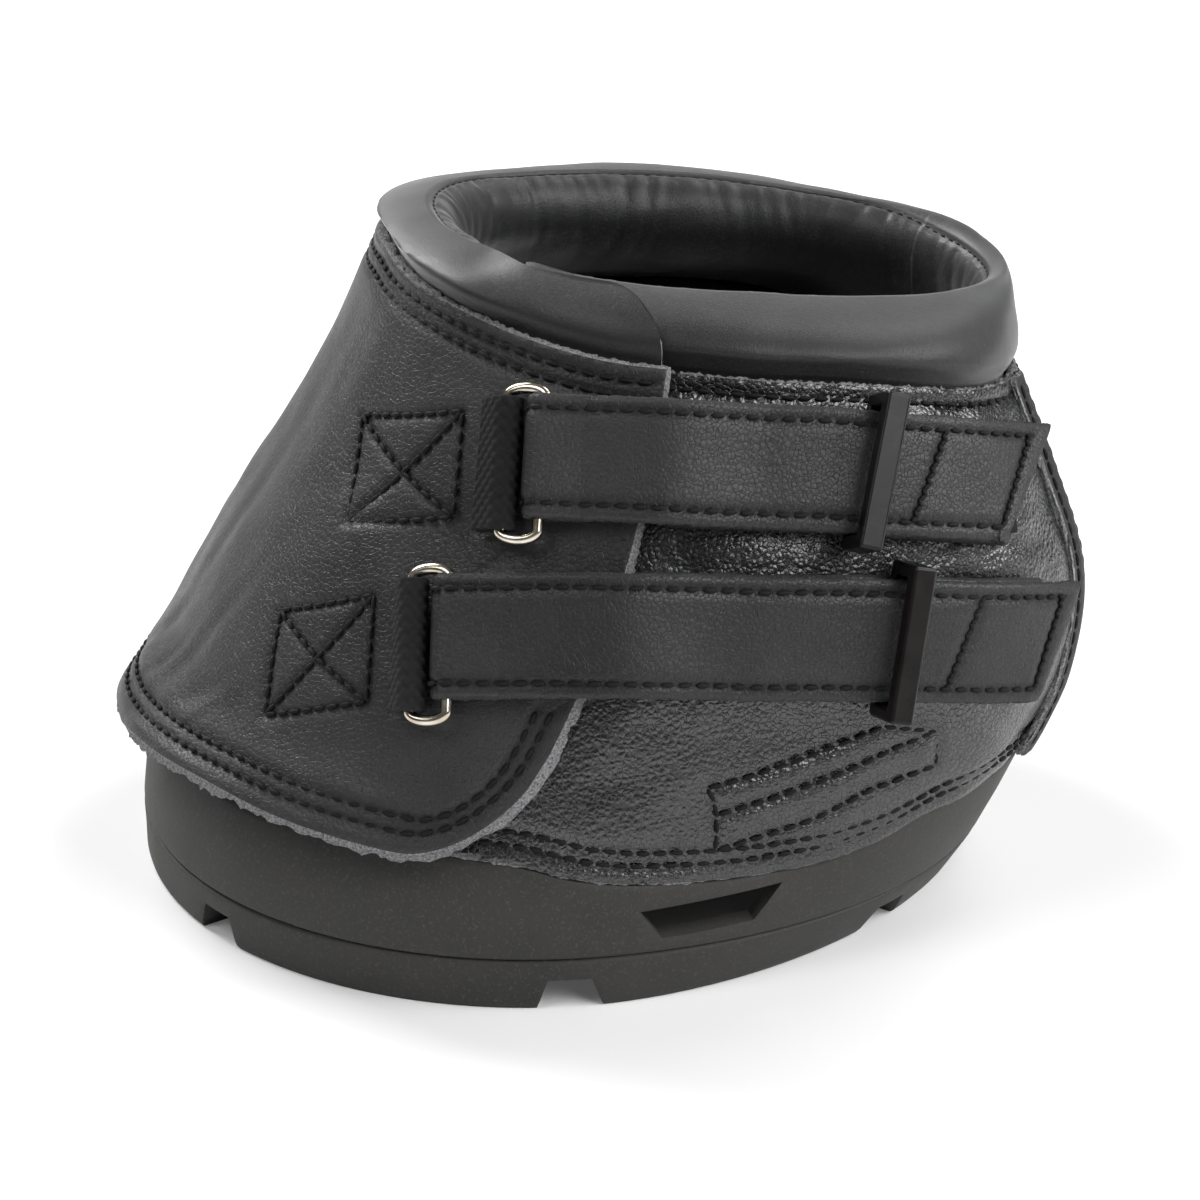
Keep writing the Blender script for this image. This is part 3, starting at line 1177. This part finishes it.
def makeStrapBase(side, one):
    angles = np.linspace(strap["baseFront"], one["tail"] - 1, 120)
    points, _, _, across = strapAt(one, angles, boot["gap"] + strap["thick"])
    points, across, _ = evenLine(points, across, 0.0011)
    count = 22
    grid = bandGrid(points, across, strap["width"], count)
    level = np.linspace(-1, 1, count)
    push = -(np.abs(level)[None, :] ** 10) * 0.0004 + ripple(grid, 0.02, 71) * 0.0001
    item = leatherSheet(side + "StrapBaseLeather", grid, strap["thick"],
                        hide("strapLeather", "cutEdge", "suedeBack"), (), push, seed=23,
                        fray=0.00012)
    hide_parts(side + "_strap_base")
    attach(item, "boot")


# rings and keepers

def makeRingTree():
    tree, given = newTree("bentWire", (("Path", "Geometry", None), ("Wire Radius", "Float", 0.0012),
                                       ("Sides", "Int", 24), ("Finish", "Material", None)), "Ring")
    curve = addNode(tree, "GeometryNodeMeshToCurve", {"Mesh": given["Path"]})
    circle = addNode(tree, "GeometryNodeCurvePrimitiveCircle", {"Resolution": given["Sides"],
                                                                "Radius": given["Wire Radius"]})
    wire = addNode(tree, "GeometryNodeCurveToMesh", {"Curve": curve.outputs[0],
                                                     "Profile Curve": circle.outputs[0]})
    smooth = addNode(tree, "GeometryNodeSetShadeSmooth", {0: wire.outputs[0]})
    real = addNode(tree, "GeometryNodeRealizeInstances", {"Geometry": smooth.outputs[0]})
    return endTree(tree, real, given["Finish"])


ringTree = makeRingTree()


def makeRing(side, one):
    point, run, _, across = ringFrame(one)
    point = point - across * strap["ringDrop"]
    half = strap["width"] / 2 + strap["ringRoom"]
    path = []
    for end in (1, -1):
        for k in range(33):
            turn = math.radians(180 * k / 32)
            path.append(point + across * end * (half + strap["ringEnd"] * math.sin(turn))
                        + run * end * strap["bars"] / 2 * math.cos(turn))
    mesh = bpy.data.meshes.new(side + "RingPath")
    mesh.from_pydata(np.array(path).tolist(), [(i, (i + 1) % len(path)) for i in range(len(path))], [])
    item = bakeTree(side + "WireRing", newObject(side + "RingPath", mesh, []), ringTree,
                    {"Wire Radius": strap["wire"] / 2, "Sides": 24, "Finish": looks["nickel"]})
    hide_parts(side + "_ring")
    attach(item, side + "_ring")


keeper = {"width": 0.0044, "arm": 0.0024, "sideGap": 0.0010, "back": 0.0014, "front": 0.0030,
          "frontGap": 0.0022, "bevel": 0.00065}


def makeKeeper(side, one):
    point, straight, out, level = strapAt(one, one["keeper"], float(strapTop(one["keeper"])))
    lean = math.radians(one["keeperLean"])
    run = straight * math.cos(lean) - level * math.sin(lean)
    across = level * math.cos(lean) + straight * math.sin(lean)
    half = strap["width"] / 2 + keeper["sideGap"]
    innerLow = -strap["thick"] - strap["lift"] + boot["gap"] + keeper["back"]
    outerLow = innerLow - keeper["back"]
    innerHigh = keeper["frontGap"]
    outerHigh = innerHigh + keeper["front"]
    wide = half + keeper["arm"]
    outlines = [(-wide, outerLow), (wide, outerLow), (wide, outerHigh), (-wide, outerHigh),
                (-half, innerLow), (half, innerLow), (half, innerHigh), (-half, innerHigh)]
    points = [point + across * a + out * b + run * end * keeper["width"] / 2
              for end in (-1, 1) for a, b in outlines]
    faces = []
    for i in range(4):
        j = (i + 1) % 4
        faces += [(j, i, 4 + i, 4 + j), (8 + i, 8 + j, 12 + j, 12 + i), (i, j, 8 + j, 8 + i),
                  (4 + j, 4 + i, 12 + i, 12 + j)]
    item = meshObject(side + "StrapKeeper", np.array(points), faces, [looks["plastic"]], sharp=35)
    bevel = item.modifiers.new("softEdges", "BEVEL")
    bevel.width = keeper["bevel"]
    bevel.segments = 4
    bevel.limit_method = "ANGLE"
    bevel.harden_normals = True
    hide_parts(side + "_keeper")
    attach(item, side + "_keeper")


# webbing loops, woven in the mesh itself

weave = {"step": 0.00024, "warp": 0.00125, "weft": 0.00115, "height": 0.00034}


def makeWebbing(side, one):
    point, run, out, across = ringFrame(one)
    bar = point - run * strap["bars"] / 2
    radius = strap["wire"] / 2 + boot["gap"] + strap["webbing"]
    low = boot["standoff"] + boot["gap"]
    slit, _, _, slitAcross = strapAt(one, one["slit"], low + 2 * strap["webbing"] + boot["gap"])
    points, ways = [slit], [slitAcross]
    far, high = float((slit - bar) @ run), float((slit - bar) @ out)
    first = math.atan2(high, far) % (2 * math.pi) - math.acos(radius / math.hypot(far, high))
    for k in range(21):
        turn = first + (-math.pi / 2 - first) * k / 20
        points.append(bar + run * math.cos(turn) * radius + out * math.sin(turn) * radius)
        ways.append(across)
    end, _, _, endAcross = strapAt(one, one["slit"], low)
    points.append(end)
    ways.append(endAcross)
    ways = np.array(ways)
    points, ways, length = evenLine(np.array(points) - ways * strap["ringDrop"], ways, weave["step"])
    width = strap["width"] + 2 * strap["webbingRoom"]
    count = int(width / weave["step"])
    grid = bandGrid(points, ways, width, count)
    i = length[:, None] / weave["warp"]
    j = (np.linspace(0, width, count) / weave["weft"])[None, :]
    over = np.sin(math.pi * i) * np.sin(math.pi * j)
    slant = np.abs(np.sin(math.pi * (i + j) / 2))
    push = weave["height"] * (np.abs(over) ** 0.6 * np.sign(over) * 0.5 + 0.4 * slant)
    item = leatherSheet(side + "Webbing", grid, strap["webbing"], [looks["webbing"]] * 3, (), push,
                        fray=0.00004, seed=25)
    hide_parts(side + "_webbing_loop")
    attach(item, "flap")


# hook-and-loop tapes: a woven base and rows of small hooks or loops

def makeTuftTree():
    tree, given = newTree("tapeTufts", (("Points", "Geometry", None), ("Tuft Height", "Float", 0.0008),
                                        ("Tuft Radius", "Float", 0.00022), ("Seed", "Int", 3),
                                        ("Yarn", "Material", None)), "Tufts")
    cone = addNode(tree, "GeometryNodeMeshCone", {"Vertices": 5, "Radius Top": given["Tuft Radius"],
                                                 "Radius Bottom": 0.00012, "Depth": given["Tuft Height"]})
    out = addNode(tree, "GeometryNodeInputNamedAttribute", {"Name": "out"}, data_type="FLOAT_VECTOR")
    stand = addNode(tree, "FunctionNodeAlignRotationToVector", {"Vector": out.outputs[0]}, axis="Z")
    tilt = addNode(tree, "FunctionNodeRandomValue", {0: (-0.4, -0.4, -3.0), 1: (0.4, 0.4, 3.0),
                                                    "Seed": given["Seed"]}, data_type="FLOAT_VECTOR")
    spin = addNode(tree, "FunctionNodeEulerToRotation", {0: tilt.outputs[0]})
    turned = addNode(tree, "FunctionNodeRotateRotation", {0: stand.outputs[0], 1: spin.outputs[0]},
                     rotation_space="LOCAL")
    placed = addNode(tree, "GeometryNodeInstanceOnPoints", {"Points": given["Points"],
                                                           "Instance": cone.outputs["Mesh"],
                                                           "Rotation": turned.outputs[0]})
    real = addNode(tree, "GeometryNodeRealizeInstances", {"Geometry": placed.outputs[0]})
    return endTree(tree, real, given["Yarn"])


tuftTree = makeTuftTree()


tapeShape = {"tuft": 0.0007, "loop": 0.0012, "low": 0.0405, "belowTop": 0.026}


def makeTape(name, grid, thickness, node, body, tuftsOut, pitch):
    # the tufts stand on the face that meets the other tape
    tuft = min(tapeShape["tuft"], thickness * 0.45)
    normals = gridNormals(grid)
    base = grid - normals * (tuft if tuftsOut else 0)
    item = leatherSheet(name, base, thickness - tuft, [looks["tape"]] * 3, (), None, fray=0.00003, seed=27)
    m, n = grid.shape[:2]
    long = np.linalg.norm(grid[-1, 0] - grid[0, 0])
    tall = np.linalg.norm(grid[0, -1] - grid[0, 0])
    i, j = np.meshgrid(np.linspace(0.02, 0.98, int(long / pitch)) * (m - 1),
                       np.linspace(0.03, 0.97, int(tall / pitch)) * (n - 1), indexing="ij")
    rng = np.random.default_rng(5)
    i = np.clip(i.ravel() + rng.normal(size=i.size) * 0.05, 0, m - 1)
    j = j.ravel()
    places = sampleGrid(grid, i, j)
    out = unit(sampleGrid(normals, i, j))
    places = places - out * (tuft / 2 if tuftsOut else thickness - tuft / 2)
    points = pointObject(name + "Points", places, {"out": out if tuftsOut else -out})
    tufts = bakeTree(name + "Tufts", points, tuftTree,
                     {"Tuft Height": tuft, "Yarn": looks["tape"], "Seed": 3})
    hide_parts(node)
    for piece in (item, tufts):
        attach(piece, body)


def makeTapes():
    under = boot["standoff"] - boot["leather"] - boot["gap"]
    loopFace = tapeShape["loop"] + boot["gap"]
    columns = np.linspace(boot["nearFront"] + 3, boot["flapEdge"] - 2, 16)
    low, high = tapeShape["low"], boot["height"] * boot["topEdge"][5][1] - tapeShape["belowTop"]
    for name, node, off, thick, body, tuftsOut in (
            ("flapHookTape", "flap_hook_tape", under, under - loopFace - boot["gap"], "flap", False),
            ("quarterLoopTape", "quarter_loop_tape", loopFace, tapeShape["loop"], "boot", True)):
        _, _, grid = upperGrid(columns, 30, lambda t: low + 0 * t, lambda t: high + 0 * t, flat(off))
        makeTape(name, grid, thick, node, body, tuftsOut, 0.0011)
    width = strap["width"] - 2 * strap["thick"]
    for side, one in straps.items():
        angles = np.linspace(one["patch"], one["tail"] - 2, 14)
        points, _, _, across = strapAt(one, angles, 2 * boot["gap"] + strap["thick"] + strap["tape"])
        makeTape(side + "BaseLoopTape", bandGrid(points, across, width, 12), strap["tape"],
                 side + "_base_loop_tape", "boot", True, 0.0009)
        top = float(strapTop(one["tail"])) - strap["thick"] - boot["gap"]
        points, _, _, across = strapAt(one, angles, top)
        makeTape(side + "StrapHookTape", bandGrid(points, across, width, 12), strap["tape"],
                 side + "_strap_hook_tape", side + "_strap", False, 0.0009)


for side, one in straps.items():
    makeStrap(side, one)
    makeStrapBase(side, one)
    makeRing(side, one)
    makeKeeper(side, one)
    makeWebbing(side, one)
makeTapes()
print("straps, rings, keepers and tapes made")


# cup sole

sole = {"columns": 288, "wall": 0.0044, "floor": 0.011, "tread": 0.0055, "bevel": 0.0022,
        "band": 0.0235, "pad": 0.046, "grooveHigh": 0.0093, "groove": 0.0006, "grooveWide": 0.0012,
        "lugs": 7, "softEdge": 0.00035,
        "notchTop": 0.0077, "notchBottom": 0.0117, "randTop": 0.0345, "rand": 0.0017,
        "drain": ((91, 0.140), (105.5, 0.156), (105, 0.103), (94.5, 0.096))}


def prismCutter(name, prisms):
    # one cutter of prisms, each from its front outline to its back one
    points, faces = [], []
    for front, back in prisms:
        start, count = len(points), len(front)
        faces.append(tuple(start + i for i in range(count)))
        faces.append(tuple(start + i for i in range(2 * count - 1, count - 1, -1)))
        for i in range(count):
            j = (i + 1) % count
            faces.append((start + j, start + i, start + count + i, start + count + j))
        points += list(front) + list(back)
    mesh = bpy.data.meshes.new(name)
    mesh.from_pydata(np.array(points).tolist(), [], faces)
    return newObject(name, mesh, [])


def notchCutter():
    inner = boot["soleWidth"] / 2 - sole["band"] - 2 * sole["bevel"]
    outer = boot["soleLength"] / 2 + 3 * sole["bevel"]
    top, bottom, tread = sole["notchTop"], sole["notchBottom"], sole["tread"]
    section = [(-bottom / 2, -tread / 2), (bottom / 2, -tread / 2), (bottom / 2, 0.0), (top / 2, tread),
               (-top / 2, tread), (-bottom / 2, 0.0)]
    up = np.array([0.0, 0.0, 1.0])
    prisms = []
    for k in range(sole["lugs"]):
        angle = math.pi / 2 + k * 2 * math.pi / sole["lugs"]
        out = np.array([math.cos(angle), math.sin(angle), 0.0])
        across = np.array([-out[1], out[0], 0.0])
        prisms.append([[out * reach + across * a + up * b for a, b in section] for reach in (outer, inner)])
    return prismCutter("notchCutter", prisms)


def drainCutter():
    face = [onUpper(a, boot["height"] * h) for a, h in sole["drain"]]
    prisms = []
    for way in (1, -1):
        ends = [[np.array([way * (p[0] + reach), p[1], p[2]]) for p in face]
                for reach in (sole["wall"], -3 * sole["wall"])]
        prisms.append([end[::-way] for end in ends])
    return prismCutter("drainCutter", prisms)


def makeSole():
    turn = np.linspace(-180, 180, sole["columns"], endpoint=False)
    tread, bevel, groove, wide = sole["tread"], sole["bevel"], sole["groove"], sole["grooveWide"]
    rand = -boot["leather"] - boot["gap"]
    top, gh = quarterHem(turn) - boot["gap"], sole["grooveHigh"]
    middle, back, floor, wall = (top + sole["randTop"]) / 2, rand - sole["rand"], sole["floor"], sole["wall"]
    outside = [(0.0, sole["pad"]), (tread, sole["pad"] - bevel / 2), (tread, sole["band"] + bevel),
               (0.0, sole["band"]), (0.0, bevel * 0.5 + groove), (0.0004, bevel * 0.32 + groove),
               (0.0012, bevel * 0.18 + groove), (tread, groove), (gh - wide * 0.9, groove / 2),
               (gh - wide * 0.35, groove * 0.6), (gh, groove * 1.7), (gh + wide * 0.35, groove * 0.55),
               (gh + wide * 0.9, groove * 0.35), ((gh + top) / 2, 0.0), (top - 0.0012, groove * 0.25),
               (top - 0.0003, groove * 0.5), (top, groove * 0.9)]
    rim = [(top, rand), (middle, rand), (sole["randTop"], rand), (sole["randTop"], back), (middle, back),
           (top - wide, back)]
    inside = [(floor + 0.0022, wall - 0.0001), (floor + 0.0009, wall + 0.0004),
              (floor + 0.0002, wall + 0.0014), (floor, wall + 0.0028)]
    levels = [outlineAt(turn, z, inset) for z, inset in outside]
    levels += [onUpper(turn, z, off) for z, off in rim]
    levels += [outlineAt(turn, z, inset) for z, inset in inside]
    n = sole["columns"]
    points = np.concatenate(levels)
    faces = [tuple(range(n - 1, -1, -1))]
    for k in range(len(levels) - 1):
        for i in range(n):
            j = (i + 1) % n
            faces.append((k * n + i, k * n + j, (k + 1) * n + j, (k + 1) * n + i))
    last = (len(levels) - 1) * n
    faces.append(tuple(range(last, last + n)))
    item = meshObject("cupSole", points, faces, [looks["rubber"]], sharp=30)
    cutters = [notchCutter(), drainCutter()]
    for cutter in cutters:
        boolean = item.modifiers.new(cutter.name, "BOOLEAN")
        boolean.operation = "DIFFERENCE"
        boolean.solver = "EXACT"
        boolean.object = cutter
    bevel = item.modifiers.new("softEdges", "BEVEL")
    bevel.width = sole["softEdge"]
    bevel.segments = 2
    bevel.limit_method = "ANGLE"
    bevel.angle_limit = math.radians(40)
    bpy.context.view_layer.update()
    graph = bpy.context.evaluated_depsgraph_get()
    mesh = bpy.data.meshes.new_from_object(item.evaluated_get(graph))
    item.modifiers.clear()
    item.data = mesh
    mesh.shade_smooth()
    mesh.set_sharp_from_angle(angle=math.radians(35))
    for cutter in cutters:
        bpy.data.objects.remove(cutter)
    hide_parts("outsole")
    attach(item, "boot")


makeSole()
print("sole made")


# floor, light and camera

room = {"floorSize": 6.0, "backdrop": 1.0, "fill": 0.015, "glossy": 0.12, "floorGlow": 0.07,
        "glowStart": 0.3, "glowEnd": 1.3, "lampSize": 0.6, "lampAim": (0, 0, 0.06)}
lamps = [
    {"name": "backLeft", "at": (-0.796, -0.460, 0.831), "watts": 14.9},
    {"name": "frontLeft", "at": (0.386, -0.668, 0.979), "watts": 4.1},
    {"name": "backRight", "at": (-0.386, 0.668, 0.979), "watts": 4.8},
    {"name": "frontRight", "at": (0.851, 0.491, 0.748), "watts": 7.1},
    {"name": "right", "at": (0.355, 0.976, 0.660), "watts": 8.5},
]
camera = {"turn": 12, "lift": 20.3, "far": 0.853, "target": (0, 0, 0.060), "sensor": 36, "picture": 1200,
          "perMetre": 5360, "right": 24, "down": 70}


def aimAt(item, place, target):
    way = Vector(target) - Vector(place)
    item.matrix_world = Matrix.Translation(place) @ way.to_track_quat("-Z", "Y").to_matrix().to_4x4()


def makeRoom():
    mesh = bpy.data.meshes.new("floor")
    half = room["floorSize"] / 2
    corners = [(-half, -half, 0), (half, -half, 0), (half, half, 0), (-half, half, 0)]
    mesh.from_pydata(corners, [], [(0, 1, 2, 3)])
    material, tree, shader, place = newMaterial("paleFloor")
    shader.inputs["Base Color"].default_value = (0.93, 0.93, 0.93, 1)
    shader.inputs["Roughness"].default_value = 0.9
    shader.inputs["Specular IOR Level"].default_value = 0.1
    path = addNode(tree, "ShaderNodeLightPath")
    away = addNode(tree, "ShaderNodeVectorMath", {0: place}, operation="LENGTH").outputs["Value"]
    glow = addNode(tree, "ShaderNodeMapRange", {"Value": away, "From Min": room["glowStart"],
                                                "From Max": room["glowEnd"], "To Min": room["floorGlow"],
                                                "To Max": 1.0},
                   interpolation_type="SMOOTHSTEP")
    seen = addNode(tree, "ShaderNodeMath", {0: glow.outputs[0], 1: path.outputs["Is Camera Ray"]},
                   operation="MULTIPLY")
    shader.inputs["Emission Color"].default_value = (1, 1, 1, 1)
    tree.links.new(seen.outputs[0], shader.inputs["Emission Strength"])
    floor = newObject("floor", mesh, [material])
    world = bpy.data.worlds.new("studio")
    bpy.context.scene.world = world
    world.use_nodes = True
    tree = world.node_tree
    background = tree.nodes["Background"]
    path = addNode(tree, "ShaderNodeLightPath")
    seen = addNode(tree, "ShaderNodeMapRange", {"Value": path.outputs["Is Camera Ray"],
                                                "To Min": room["fill"], "To Max": room["backdrop"]})
    shiny = addNode(tree, "ShaderNodeMapRange", {"Value": path.outputs["Is Glossy Ray"], "To Min": 0.0,
                                                 "To Max": room["glossy"]})
    both = addNode(tree, "ShaderNodeMath", {0: seen.outputs[0], 1: shiny.outputs[0]}, operation="MAXIMUM")
    background.inputs["Color"].default_value = (1, 1, 1, 1)
    tree.links.new(both.outputs[0], background.inputs["Strength"])
    for lamp in lamps:
        light = bpy.data.lights.new(lamp["name"], "AREA")
        light.shape = "RECTANGLE"
        light.size = light.size_y = room["lampSize"]
        light.energy = lamp["watts"]
        aimAt(newObject(lamp["name"], light, []), lamp["at"], room["lampAim"])


def makeCamera():
    turn, lift, far = math.radians(camera["turn"]), math.radians(camera["lift"]), camera["far"]
    back = Vector((math.cos(turn) * math.cos(lift), -math.sin(turn) * math.cos(lift), math.sin(lift)))
    right = Vector((math.sin(turn), math.cos(turn), 0))
    up = back.cross(right)
    target = Vector(camera["target"])
    data = bpy.data.cameras.new("camera")
    data.sensor_width = camera["sensor"]
    data.lens = camera["sensor"] * far / (camera["picture"] / camera["perMetre"])
    item = newObject("camera", data, [])
    aim = target + right * (camera["right"] / camera["perMetre"]) - up * (camera["down"] / camera["perMetre"])
    aimAt(item, target + back * far, aim)
    bpy.context.scene.camera = item


makeRoom()
makeCamera()
bpy.context.scene.view_settings.view_transform = "Standard"
print("room and camera made")
